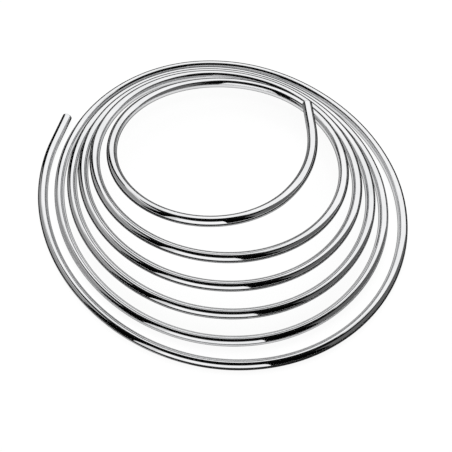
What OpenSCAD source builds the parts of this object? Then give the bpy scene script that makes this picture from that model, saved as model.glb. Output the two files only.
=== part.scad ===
// Coil of round metal tube: one length, wound in open turns and laid down on its widest turn.
// The turns inside it get smaller and climb, close together at the back and fanned out at the front.
// Sizes are in millimetres. The floor is z = 0, and the middle of the coil's outline is the origin.

/* [Tube] */
// Outside diameter of the tube
tube_od = 10; // [8:0.5:12]
// Thickness of the tube's wall
tube_wall = 1; // [0.6:0.1:1.5]
// Length that stays straight at the outer end
outer_straight = 35; // [20:1:50]
// Length that stays straight at the inner end
inner_straight = 33; // [20:1:50]

/* [Turns] */
// Number of turns between the straight ends
turns = 5.6; // [3:0.1:5.7]
// Width of the widest turn, from the middle of the tube to the middle of the tube
coil_width = 367; // [340:1:450]
// How much closer to the middle each turn lies than the one outside it
turn_step = 14; // [12.5:0.5:16]
// Extra space inside the widest turn
first_gap = 5; // [0:0.5:8]
// How far the widest turn bulges along its slant
bulge = 10; // [0:0.5:11]
// How far the widest turn lies towards the front
front_drift = 12; // [6:0.5:14]

/* [Climb] */
// Height that each raised turn gains over the one below, where they lie closest
close_rise = 9; // [5:0.5:15]
// Extra height that it gains at the front
front_rise = 14.5; // [0:0.5:18]
// Extra height that the inner end gains
end_lift = 16; // [10:1:30]

/* [Hidden] */
chrome = [0.80, 0.81, 0.83];

// How much of the front drift each turn loses, and how far all turns lie towards the left
drift_step = 3;
left_drift = 3;

// The innermost turn: how much closer it lies, how far it is moved, and how far its end opens out again
end_tuck = 17;
end_shift = 15;
end_flare = 16;

// Angles are seen from above, with 0 at the right and 90 at the back
start_angle = 162;
bulge_angle = 135;
left_angle = 180;
shift_angle = 225;
front_angle = 248;
drift_angle = 270;

// Turns after which the width is taken and the first gap sets in, and turns that the changes take
width_turn = 0.3;
gap_turn = 0.6;
gap_turns = 0.8;
tuck_turns = 0.6;
flare_turns = 0.2;

// Turns over which the climb sets in, and over which the inner end lifts
ease_turns = 1.2;
lift_turns = 0.5;

tube_r = tube_od / 2;
bore_r = tube_r - tube_wall;
spacing = tube_od + 0.4;

// The tube is made of bent lengths. Every second one is a hair thinner and laps into its neighbours' walls.
spans_per_turn = 8;
first_span = 0.02;
hair = 0.03;
lap = 0.6;
round_sides = 96;
small_turn = 0.001;
no_bend = 0.000001;

// Soft step from 0 to 1
function ease(x) =
    let (t = max(0, min(1, x)))
    t * t * (3 - 2 * t);

function turn_angle(u) = start_angle + 360 * u;

// Distance of the tube from the middle after u turns: an even spiral, slanted, drifting and tucked in at its end
function turn_reach(u) =
    let (
        a = turn_angle(u),
        even = coil_width / 2 + turn_step * (width_turn - u) - first_gap * ease((u - gap_turn) / gap_turns),
        slant = bulge * (1 - u / turns) * cos(2 * (a - bulge_angle)),
        drift = (front_drift - drift_step * u) * cos(a - drift_angle) + left_drift * cos(a - left_angle),
        tuck = ease((u - turns + 1) / tuck_turns) * (end_shift * cos(a - shift_angle) - end_tuck),
        flare = max(0, u - turns + flare_turns) / flare_turns)
    even + slant + drift + tuck + end_flare * flare ^ 2;

// Each turn clears the one below it by the tube's own thickness, and fans out from it
function turn_rise(u) =
    let (
        inward = turn_reach(u - 1) - turn_reach(u),
        lean = (1 + cos(turn_angle(u) - front_angle)) / 2,
        fan = ease((u - 1) / ease_turns) * (close_rise + front_rise * lean))
    sqrt(max(0, spacing ^ 2 - inward ^ 2) + fan ^ 2);

function turn_height(u) = u < 1 ? tube_r : turn_height(u - 1) + turn_rise(u);

// Middle of the tube after u turns
function mid_point(u) =
    let (
        a = turn_angle(u),
        r = turn_reach(u),
        lift = max(0, u - turns + lift_turns) / lift_turns)
    [r * cos(a), r * sin(a), turn_height(u) + end_lift * lift ^ 2];

function unit(v) = v / norm(v);

function heading(u) = unit(mid_point(u + small_turn) - mid_point(u - small_turn));

// Heading at one end of an arc from p to q, from its heading f at the other end
function arc_heading(p, f, q) =
    let (w = unit(q - p))
    2 * (w * f) * w - f;

// Point where two arcs meet that leave p along f and arrive at q along g without a kink
function arc_joint(p, f, q, g) =
    let (
        v = q - p,
        along = v * (f + g),
        bend = 2 * (1 - f * g),
        run = bend < no_bend
            ? v * v / (2 * along)
            : (sqrt(along ^ 2 + bend * (v * v)) - along) / bend)
    (p + q + run * (f - g)) / 2;

spans = ceil(turns * spans_per_turn);
stations = concat([0], [for (i = [0:spans]) first_span + (turns - first_span) * i / spans]);
places = [for (u = stations) mid_point(u)];
ways = [for (u = stations) heading(u)];

// The bends, each as its start, its heading there and its end: one short arc, then two for every span
bends = [
    [places[0], arc_heading(places[0], ways[1], places[1]), places[1]],
    for (i = [1:spans])
        let (joint = arc_joint(places[i], ways[i], places[i + 1], ways[i + 1]))
        each [
            [places[i], ways[i], joint],
            [joint, arc_heading(places[i], ways[i], joint), places[i + 1]]]];

start_place = places[0];
start_dir = -bends[0][1];
end_place = places[spans + 1];
end_dir = ways[spans + 1];

outline = concat(
    [for (u = [0:0.01:turns]) mid_point(u)],
    [start_place + outer_straight * start_dir, end_place + inner_straight * end_dir]);
xs = [for (p = outline) p.x];
ys = [for (p = outline) p.y];
coil_mid = [(min(xs) + max(xs)) / 2, (min(ys) + max(ys)) / 2, 0];

module tube_section(thin) {
    difference() {
        circle(r = tube_r - thin, $fn = round_sides);
        circle(r = bore_r + thin, $fn = round_sides);
    }
}

module bent_tube(p, f, q, slim) {
    v = q - p;
    inward = v - (v * f) * f;
    r = v * v / (2 * norm(inward));
    x = -unit(inward);
    z = cross(x, f);
    middle = p - r * x;
    turn = 2 * atan2(norm(inward), v * f);
    extra = slim ? lap * 180 / (PI * r) : 0;
    multmatrix([
        [x.x, f.x, z.x, middle.x],
        [x.y, f.y, z.y, middle.y],
        [x.z, f.z, z.z, middle.z]])
        rotate_extrude(start = -extra, angle = turn + 2 * extra, $fn = round_sides)
            translate([r, 0])
                tube_section(slim ? hair : 0);
}

module straight_tube(from, dir, length) {
    translate(from)
        rotate([0, acos(dir.z), atan2(dir.y, dir.x)])
            linear_extrude(length)
                tube_section(0);
}

module tube_coil() {
    color(chrome)
        translate(-coil_mid) {
            straight_tube(start_place, start_dir, outer_straight);
            for (i = [0:len(bends) - 1])
                bent_tube(bends[i][0], bends[i][1], bends[i][2], i % 2 == 0);
            straight_tube(end_place, end_dir, inner_straight);
        }
}

tube_coil();
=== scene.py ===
import math

import bmesh
import bpy
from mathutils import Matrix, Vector


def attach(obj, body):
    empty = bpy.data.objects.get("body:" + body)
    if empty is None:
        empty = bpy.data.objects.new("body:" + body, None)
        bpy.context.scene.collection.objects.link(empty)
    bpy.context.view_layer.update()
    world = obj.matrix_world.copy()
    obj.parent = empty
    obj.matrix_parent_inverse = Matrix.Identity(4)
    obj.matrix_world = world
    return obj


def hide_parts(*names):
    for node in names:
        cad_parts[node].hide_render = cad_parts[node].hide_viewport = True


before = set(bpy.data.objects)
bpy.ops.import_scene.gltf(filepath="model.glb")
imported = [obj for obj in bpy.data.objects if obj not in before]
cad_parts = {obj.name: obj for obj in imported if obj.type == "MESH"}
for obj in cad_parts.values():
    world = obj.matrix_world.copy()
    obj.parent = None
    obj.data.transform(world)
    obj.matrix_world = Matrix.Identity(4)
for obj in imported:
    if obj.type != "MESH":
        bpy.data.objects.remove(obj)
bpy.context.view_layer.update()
print("frame loaded:", ", ".join(sorted(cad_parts)))

mm = 0.001


def linear(hexColour):
    parts = [int(hexColour[i:i + 2], 16) / 255 for i in (1, 3, 5)]
    return tuple(c / 12.92 if c <= 0.04045 else ((c + 0.055) / 1.055) ** 2.4 for c in parts) + (1.0,)


def addNode(tree, kind, settings=None, links=None):
    node = tree.nodes.new(kind)
    for name, value in (settings or {}).items():
        if name in node.inputs:
            node.inputs[name].default_value = value
        else:
            setattr(node, name, value)
    for name, source in (links or {}).items():
        tree.links.new(source, node.inputs[name])
    return node


def newMaterial(name):
    material = bpy.data.materials.new(name)
    material.use_nodes = True
    material.node_tree.nodes.clear()
    return material, material.node_tree


# how the tube is wound, in millimetres, as in the part's source
winding = {
    "turns": 5.6,
    "width": 367.0,         # across the widest turn, middle to middle
    "step": 14.0,           # how much closer to the middle each turn lies
    "firstGap": 5.0,        # extra space inside the widest turn
    "bulge": 10.0,          # along the widest turn's slant
    "frontDrift": 12.0,
    "driftStep": 3.0,       # what each turn loses of it
    "leftDrift": 3.0,
    "endTuck": 17.0,        # the innermost turn lies closer, is moved, and opens out again at its end
    "endShift": 15.0,
    "endFlare": 16.0,
    "closeRise": 9.0,       # what each turn gains over the one below where they lie closest
    "frontRise": 14.5,      # and what more it gains at the front
    "endLift": 16.0,        # extra height of the inner end
    "spacing": 10.4,
    "startAngle": 162.0,    # seen from above, 0 right and 90 back
    "frontAngle": 248.0,
    "easeTurns": 1.2,
    "liftTurns": 0.5,
    "outerStraight": 35.0,
    "innerStraight": 33.0,
    "spansPerTurn": 8,
    "firstSpan": 0.02,
    "bulgeAngle": 135.0,
    "leftAngle": 180.0,
    "shiftAngle": 225.0,
    "driftAngle": 270.0,
    "widthTurn": 0.3,
    "gapTurn": 0.6,
    "gapTurns": 0.8,
    "tuckTurns": 0.6,
    "flareTurns": 0.2,
}


def ease(x):
    t = max(0, min(1, x))
    return t * t * (3 - 2 * t)


def cosine(degrees):
    return math.cos(math.radians(degrees))


def turnAngle(u):
    return winding["startAngle"] + 360 * u


def turnReach(u):
    w, angle = winding, turnAngle(u)
    gap = w["firstGap"] * ease((u - w["gapTurn"]) / w["gapTurns"])
    even = w["width"] / 2 + w["step"] * (w["widthTurn"] - u) - gap
    slant = w["bulge"] * (1 - u / w["turns"]) * cosine(2 * (angle - w["bulgeAngle"]))
    forward = (w["frontDrift"] - w["driftStep"] * u) * cosine(angle - w["driftAngle"])
    sideways = w["leftDrift"] * cosine(angle - w["leftAngle"])
    moved = w["endShift"] * cosine(angle - w["shiftAngle"]) - w["endTuck"]
    tuck = ease((u - w["turns"] + 1) / w["tuckTurns"]) * moved
    flare = max(0, u - w["turns"] + w["flareTurns"]) / w["flareTurns"]
    return even + slant + forward + sideways + tuck + w["endFlare"] * flare ** 2


def turnRise(u):
    inward = turnReach(u - 1) - turnReach(u)
    lean = (1 + cosine(turnAngle(u) - winding["frontAngle"])) / 2
    fan = ease((u - 1) / winding["easeTurns"]) * (winding["closeRise"] + winding["frontRise"] * lean)
    return math.sqrt(max(0, winding["spacing"] ** 2 - inward ** 2) + fan ** 2)


def turnHeight(u):
    return tube["outside"] / 2 if u < 1 else turnHeight(u - 1) + turnRise(u)


def midPoint(u):
    angle, reach = math.radians(turnAngle(u)), turnReach(u)
    lift = max(0, u - winding["turns"] + winding["liftTurns"]) / winding["liftTurns"]
    height = turnHeight(u) + winding["endLift"] * lift ** 2
    return Vector((reach * math.cos(angle), reach * math.sin(angle), height))


def heading(u):
    return (midPoint(u + 0.001) - midPoint(u - 0.001)).normalized()


def arcHeading(p, f, q):        # heading at the other end of an arc
    w = (q - p).normalized()
    return 2 * w.dot(f) * w - f


def arcJoint(p, f, q, g):       # where two arcs meet without a kink
    v = q - p
    along, bend = v.dot(f + g), 2 * (1 - f.dot(g))
    run = (math.sqrt(along ** 2 + bend * v.dot(v)) - along) / bend
    return (p + q + run * (f - g)) / 2


def tubeBends():
    turns, first = winding["turns"], winding["firstSpan"]
    spans = math.ceil(turns * winding["spansPerTurn"])
    stops = [first + (turns - first) * i / spans for i in range(spans + 1)]
    places, ways = [midPoint(u) for u in stops], [heading(u) for u in stops]
    start = midPoint(0)
    bends = [(start, arcHeading(start, ways[0], places[0]), places[0])]
    for p, f, q, g in zip(places, ways, places[1:], ways[1:]):
        joint = arcJoint(p, f, q, g)
        bends += [(p, f, joint), (joint, arcHeading(p, f, joint), q)]
    return bends


tube = {
    "outside": 10.0,
    "wall": 1.0,
    "sides": 52,
    "ringStep": 3.7,           # mm along the tube
    "straightRings": 8,
    "rollIn": [(0.0, 0.35), (0.25, 0.14), (0.7, 0.04), (1.6, 0.0)],     # the cutter's wheel rolls the rim in
    "burr": [(0.0, 0.28), (0.4, 0.1), (1.2, 0.0)],
}


def bendRings(p, f, q):
    v = q - p
    inward = v - v.dot(f) * f
    r = v.dot(v) / (2 * inward.length)
    x = -inward.normalized()
    turn = 2 * math.atan2(inward.length, v.dot(f))
    count = max(2, round(r * turn / tube["ringStep"]))
    rings = []
    for k in range(count):
        c, s = math.cos(turn * k / count), math.sin(turn * k / count)
        rings.append((p + r * ((c - 1) * x + s * f), c * f - s * x))
    return rings


def tubeStations():
    bends = tubeBends()
    start, first, _ = bends[0]
    end, last = bends[-1][2], arcHeading(*bends[-1])
    near = [d for d, _ in tube["rollIn"]] + [d for d, _ in tube["burr"]]
    outer, inner, count = winding["outerStraight"], winding["innerStraight"], tube["straightRings"]
    fromTip = sorted(set(near + [outer * k / count for k in range(1, count)]))
    toTip = sorted(set(near + [inner * k / count for k in range(1, count)]), reverse=True)
    stations = [(start - (outer - d) * first, first) for d in fromTip]
    for bend in bends:
        stations += bendRings(*bend)
    stations.append((end, last))
    return stations + [(end + (inner - d) * last, last) for d in toTip]


def taper(profile, d):
    for (d0, t0), (d1, t1) in zip(profile, profile[1:]):
        if d <= d1:
            return t0 + (t1 - t0) * (d - d0) / (d1 - d0)
    return 0.0


def makeTube():
    stations = tubeStations()
    along = [0.0]
    for (p, _), (q, _) in zip(stations, stations[1:]):
        along.append(along[-1] + (q - p).length)
    total, last = along[-1], len(stations) - 1
    outline = [midPoint(k / 100) for k in range(round(100 * winding["turns"]) + 1)]
    outline += [stations[0][0], stations[-1][0]]
    shift = Vector(((min(p.x for p in outline) + max(p.x for p in outline)) / 2,
                    (min(p.y for p in outline) + max(p.y for p in outline)) / 2, 0))
    mesh = bmesh.new()
    uv = mesh.loops.layers.uv.new("along_and_round")

    def addSkin(radius, profile, count, chosen):
        rings = []
        for i in chosen:
            p, h = stations[i]
            r = radius - taper(profile, min(along[i], total - along[i]))
            side = h.cross(Vector((0, 0, 1))).normalized()
            top = side.cross(h)
            ring = []
            for k in range(count):
                t = 2 * math.pi * k / count
                ring.append(mesh.verts.new((p - shift + r * (math.cos(t) * side + math.sin(t) * top)) * mm))
            rings.append(ring)
        return rings

    def addFace(corners, slot, places):
        face = mesh.faces.new(corners)
        face.material_index = slot
        face.smooth = True
        for loop, place in zip(face.loops, places):
            loop[uv].uv = place

    def addWall(rings, chosen, slot, girth):
        count = len(rings[0])
        for i in range(len(rings) - 1):
            s, t = along[chosen[i]] * mm, along[chosen[i + 1]] * mm
            for k in range(count):
                j = (k + 1) % count
                v, w = girth * k / count * mm, girth * (k + 1) / count * mm
                corners = [rings[i][k], rings[i][j], rings[i + 1][j], rings[i + 1][k]]
                addFace(corners, slot, [(s, v), (s, w), (t, w), (t, v)])

    radius, sides = tube["outside"] / 2, tube["sides"]
    half, ends = sides // 2, 20
    every = list(range(last + 1))
    some = [i for i in every if i < ends or i > last - ends or i % 3 == 0]      # coarser deep in the bore
    outside = addSkin(radius, tube["rollIn"], sides, every)
    bore = addSkin(radius - tube["wall"], tube["burr"], half, some)
    addWall(outside, every, 0, 2 * math.pi * radius)
    addWall(bore, some, 2, 2 * math.pi * (radius - tube["wall"]))
    for rim, mouth in ((outside[0], bore[0]), (outside[-1], bore[-1])):
        for k in range(half):
            j, m, n = (k + 1) % half, 2 * k + 1, (2 * k + 2) % sides
            addFace([mouth[k], mouth[j], rim[n], rim[m], rim[2 * k]], 1,
                    [(0, k / half), (0, (k + 1) / half),
                     (1, (k + 1) / half), (1, (k + 0.5) / half), (1, k / half)])
            for p, q in ((mouth[k], mouth[j]), (rim[2 * k], rim[m]), (rim[m], rim[n])):
                mesh.edges.get((p, q)).smooth = False       # the rims stay crisp
    bmesh.ops.recalc_face_normals(mesh, faces=mesh.faces)
    data = bpy.data.meshes.new("chromed_tube")
    mesh.to_mesh(data)
    mesh.free()
    piece = bpy.data.objects.new("chromed_tube", data)
    bpy.context.scene.collection.objects.link(piece)
    triangles = sum(len(f.vertices) - 2 for f in data.polygons)
    print("tube:", len(stations), "rings,", round(total), "mm long,", triangles, "triangles")
    return piece


chrome = {
    "bright": "#DCDCDD",
    "haze": "#CECFD0",
    "smearSize": 45.0,      # mm, wiped-over patches
    "dieLine": 0.5,         # mm between the drawing die's faint lines; finer in truth, coarse here to show
    "wave": 28.0,           # mm, slow dents from bending by hand
}


def chromePlate():
    # bright nickel and chromium plate over drawn copper: a mirror with faint long lines and slow waves
    material, tree = newMaterial("bright_chrome_plate")
    coords = addNode(tree, "ShaderNodeTexCoord")
    smears = addNode(tree, "ShaderNodeTexNoise",
                     {"Scale": 1000 / chrome["smearSize"], "Detail": 3.0, "Roughness": 0.6},
                     {"Vector": coords.outputs["Object"]})
    tone = addNode(tree, "ShaderNodeValToRGB", None, {"Fac": smears.outputs["Fac"]})
    for stop, place, colour in zip(tone.color_ramp.elements, (0.35, 0.75), ("bright", "haze")):
        stop.position = place
        stop.color = linear(chrome[colour])
    gloss = addNode(tree, "ShaderNodeMapRange",
                    {"From Min": 0.35, "From Max": 0.75, "To Min": 0.03, "To Max": 0.09},
                    {"Value": smears.outputs["Fac"]})
    stretchUv = addNode(tree, "ShaderNodeMapping", {"Scale": (1000 / 120.0, 1000 / chrome["dieLine"], 1.0)},
                        {"Vector": coords.outputs["UV"]})
    dieLines = addNode(tree, "ShaderNodeTexNoise", {"Scale": 1.0, "Detail": 2.0},
                       {"Vector": stretchUv.outputs["Vector"]})
    waves = addNode(tree, "ShaderNodeTexNoise", {"Scale": 1000 / chrome["wave"], "Detail": 1.0},
                    {"Vector": coords.outputs["Object"]})
    slow = addNode(tree, "ShaderNodeBump", {"Strength": 0.1, "Distance": 0.0004},
                   {"Height": waves.outputs["Fac"]})
    fine = addNode(tree, "ShaderNodeBump", {"Strength": 0.02, "Distance": 0.00004},
                   {"Height": dieLines.outputs["Fac"], "Normal": slow.outputs["Normal"]})
    # the near-black Specular Tint darkens the mirror at grazing angles: painted dark outlines along the
    # tube's edges
    shader = addNode(tree, "ShaderNodeBsdfPrincipled", {"Metallic": 1.0, "Specular Tint": linear("#080808")},
                     {"Base Color": tone.outputs["Color"], "Roughness": gloss.outputs["Result"],
                      "Normal": fine.outputs["Normal"]})
    addNode(tree, "ShaderNodeOutputMaterial", None, {"Surface": shader.outputs["BSDF"]})
    return material


def cutCopper():
    # copper bared by the pipe cutter: warm, bright, with fine turned rings
    material, tree = newMaterial("cut_copper")
    coords = addNode(tree, "ShaderNodeTexCoord")
    rings = addNode(tree, "ShaderNodeTexWave",
                    {"Scale": 6.0, "Distortion": 2.0, "Detail": 2.0, "bands_direction": "X"},
                    {"Vector": coords.outputs["UV"]})
    tone = addNode(tree, "ShaderNodeValToRGB", None, {"Fac": rings.outputs["Fac"]})
    tone.color_ramp.elements[0].color = linear("#A9623F")
    tone.color_ramp.elements[1].color = linear("#D08A62")
    bump = addNode(tree, "ShaderNodeBump", {"Strength": 0.3, "Distance": 0.0001},
                   {"Height": rings.outputs["Fac"]})
    shader = addNode(tree, "ShaderNodeBsdfPrincipled", {"Metallic": 1.0, "Roughness": 0.32},
                     {"Base Color": tone.outputs["Color"], "Normal": bump.outputs["Normal"]})
    addNode(tree, "ShaderNodeOutputMaterial", None, {"Surface": shader.outputs["BSDF"]})
    return material


def boreCopper():
    # unplated copper inside the bore: dulled to brown in the air
    material, tree = newMaterial("dull_copper_bore")
    coords = addNode(tree, "ShaderNodeTexCoord")
    tarnish = addNode(tree, "ShaderNodeTexNoise", {"Scale": 1000 / 6.0, "Detail": 4.0},
                      {"Vector": coords.outputs["Object"]})
    tone = addNode(tree, "ShaderNodeValToRGB", None, {"Fac": tarnish.outputs["Fac"]})
    tone.color_ramp.elements[0].color = linear("#5E3A28")
    tone.color_ramp.elements[1].color = linear("#9A6245")
    gloss = addNode(tree, "ShaderNodeMapRange", {"To Min": 0.4, "To Max": 0.65},
                    {"Value": tarnish.outputs["Fac"]})
    shader = addNode(tree, "ShaderNodeBsdfPrincipled", {"Metallic": 1.0},
                     {"Base Color": tone.outputs["Color"], "Roughness": gloss.outputs["Result"]})
    addNode(tree, "ShaderNodeOutputMaterial", None, {"Surface": shader.outputs["BSDF"]})
    return material


coil = makeTube()
for material in (chromePlate(), cutCopper(), boreCopper()):
    coil.data.materials.append(material)
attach(coil, "root")
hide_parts("tube_coil")
print("tube dressed")


studio = {
    "floorSize": 7.0,
    "white": "#FFFFFF",
    "paper": "#F6F6F6",
    "ambient": 0.7,
    "paperShare": 0.92,      # how much of the floor's white is its own
    "domeRadius": 2.2,
    "matHeight": 0.0004,
    # plain boards round the table, one tone each: from and to angle seen from above (0 right, 90 back),
    # from and to angle above the floor, tone and brightness
    "boards": {
        "white_front": (235, 285, 0, 45, "#FFFFFF", 1.3),
        "white_back": (20, 125, 15, 65, "#FFFFFF", 1.3),
        "black_right": (285, 315, 0, 70, "#040404", 1.0),
        "black_left": (200, 225, 0, 70, "#040404", 1.0),
        "black_back_left": (125, 145, 0, 40, "#040404", 1.0),
        "dark_back": (20, 125, 0, 15, "#202020", 1.0),
        "grey_left": (145, 200, 0, 45, "#A8A8A8", 1.0),
        "grey_right": (315, 380, 0, 50, "#707070", 1.0),
        "dark_ceiling": (0, 360, 70, 90, "#101010", 1.0),
        "dark_front_ceiling": (140, 380, 50, 70, "#181818", 1.0),
    },
    "cardInner": 0.185,      # dark card laid round the coil, seen only by the metal: painted shade in the tube's low sides, where they reflect the floor near the tube
    "cardOuter": 0.8,
    "shadeCardTone": "#303030",
    "lampSize": 1.6,
    "lampPower": 30.0,
    "lampPlace": (0.0, 0.6, 1.7),
}


def seenDirectly(tree):
    path = addNode(tree, "ShaderNodeLightPath")
    both = addNode(tree, "ShaderNodeMath", {"operation": "MAXIMUM"})
    tree.links.new(path.outputs["Is Camera Ray"], both.inputs[0])
    tree.links.new(path.outputs["Is Glossy Ray"], both.inputs[1])
    every = addNode(tree, "ShaderNodeMath", {"operation": "MAXIMUM"})
    tree.links.new(both.outputs[0], every.inputs[0])
    tree.links.new(path.outputs["Is Transmission Ray"], every.inputs[1])
    return every.outputs[0]


def whitePaper():
    # matt white paper: it shows as white, and keeps a faint shadow
    material, tree = newMaterial("white_paper_floor")
    matt = addNode(tree, "ShaderNodeBsdfDiffuse", {"Color": linear(studio["paper"])})
    glow = addNode(tree, "ShaderNodeEmission", {"Color": linear(studio["white"]), "Strength": 1.0})
    share = addNode(tree, "ShaderNodeMath", {"operation": "MULTIPLY"})
    tree.links.new(seenDirectly(tree), share.inputs[0])
    share.inputs[1].default_value = studio["paperShare"]
    mix = addNode(tree, "ShaderNodeMixShader", None, {"Fac": share.outputs[0]})
    tree.links.new(matt.outputs[0], mix.inputs[1])
    tree.links.new(glow.outputs[0], mix.inputs[2])
    addNode(tree, "ShaderNodeOutputMaterial", None, {"Surface": mix.outputs[0]})
    return material


def boardFinish(name, tone, light):
    # painted board under its own light, plain all over
    material, tree = newMaterial(name)
    shader = addNode(tree, "ShaderNodeEmission", {"Color": linear(tone), "Strength": light})
    addNode(tree, "ShaderNodeOutputMaterial", None, {"Surface": shader.outputs[0]})
    return material


def addStage(name, points, faces, material):
    data = bpy.data.meshes.new(name)
    data.from_pydata(points, [], faces)
    data.materials.append(material)
    piece = bpy.data.objects.new(name, data)
    bpy.context.scene.collection.objects.link(piece)
    return piece


half = studio["floorSize"] / 2
corners = [(-half, -half), (half, -half), (half, half), (-half, half)]
addStage("paper_floor", [(x, y, -0.0002) for x, y in corners], [(0, 1, 2, 3)], whitePaper())


def addCurved(name, place, low, high, fromAngle, toAngle, material):
    across, up = 36, 8
    points, faces = [], []
    for j in range(up + 1):
        for i in range(across + 1):
            turn = math.radians(fromAngle + (toAngle - fromAngle) * i / across)
            reach, z = place(low + (high - low) * j / up)
            points.append((reach * math.cos(turn), reach * math.sin(turn), z))
    for j in range(up):
        for i in range(across):
            k = j * (across + 1) + i
            faces.append((k, k + 1, k + across + 2, k + across + 1))
    board = addStage(name, points, faces, material)
    board.visible_camera = False
    board.visible_shadow = False
    board.visible_diffuse = False


def onDome(angle):
    return studio["domeRadius"] * cosine(angle), studio["domeRadius"] * math.sin(math.radians(angle))


def onFloor(distance):
    return distance, studio["matHeight"]


# as a photographer sets them to draw lines on bright metal: only the metal sees them
for name, (fromAngle, toAngle, low, high, tone, light) in studio["boards"].items():
    addCurved(name, onDome, low, high, fromAngle, toAngle, boardFinish(name, tone, light))
# the dark card is painted shade: only the metal sees it, as a dark floor round the coil under the tubes' low
# sides
addCurved("reflected_shade_card", onFloor, studio["cardInner"], studio["cardOuter"], 0, 360,
          boardFinish("reflected_shade_card", studio["shadeCardTone"], 1.0))

lampData = bpy.data.lights.new("softbox", "AREA")
lampData.shape = "DISK"
lampData.size = studio["lampSize"]
lampData.energy = studio["lampPower"]
lamp = bpy.data.objects.new("softbox", lampData)
lamp.location = studio["lampPlace"]
lamp.rotation_euler = (-math.atan2(studio["lampPlace"][1], studio["lampPlace"][2]), 0, 0)
lamp.visible_glossy = False
lamp.visible_camera = False
bpy.context.scene.collection.objects.link(lamp)

world = bpy.data.worlds.new("white_room")
bpy.context.scene.world = world
world.use_nodes = True
tree = world.node_tree
tree.nodes.clear()
strength = addNode(tree, "ShaderNodeMapRange", {"To Min": studio["ambient"], "To Max": 1.0},
                   {"Value": seenDirectly(tree)})
background = addNode(tree, "ShaderNodeBackground", {"Color": linear(studio["white"])},
                     {"Strength": strength.outputs["Result"]})
addNode(tree, "ShaderNodeOutputWorld", None, {"Surface": background.outputs[0]})
print("studio set")


# where the photograph was taken from
view = {
    "target": (0.0054, -0.0409, 0.020),
    "distance": 0.843,
    "elevation": 59.5,
    "focalPixels": 850.0,
    "pictureWidth": 452.0,
}
cameraData = bpy.data.cameras.new("camera")
cameraData.sensor_fit = "HORIZONTAL"
cameraData.lens = view["focalPixels"] * cameraData.sensor_width / view["pictureWidth"]
camera = bpy.data.objects.new("camera", cameraData)
tilt = math.radians(view["elevation"])
camera.location = Vector(view["target"]) + view["distance"] * Vector((0, -math.cos(tilt), math.sin(tilt)))
camera.rotation_euler = (math.pi / 2 - tilt, 0, 0)
bpy.context.scene.collection.objects.link(camera)
bpy.context.scene.camera = camera
bpy.context.scene.view_settings.view_transform = "Standard"
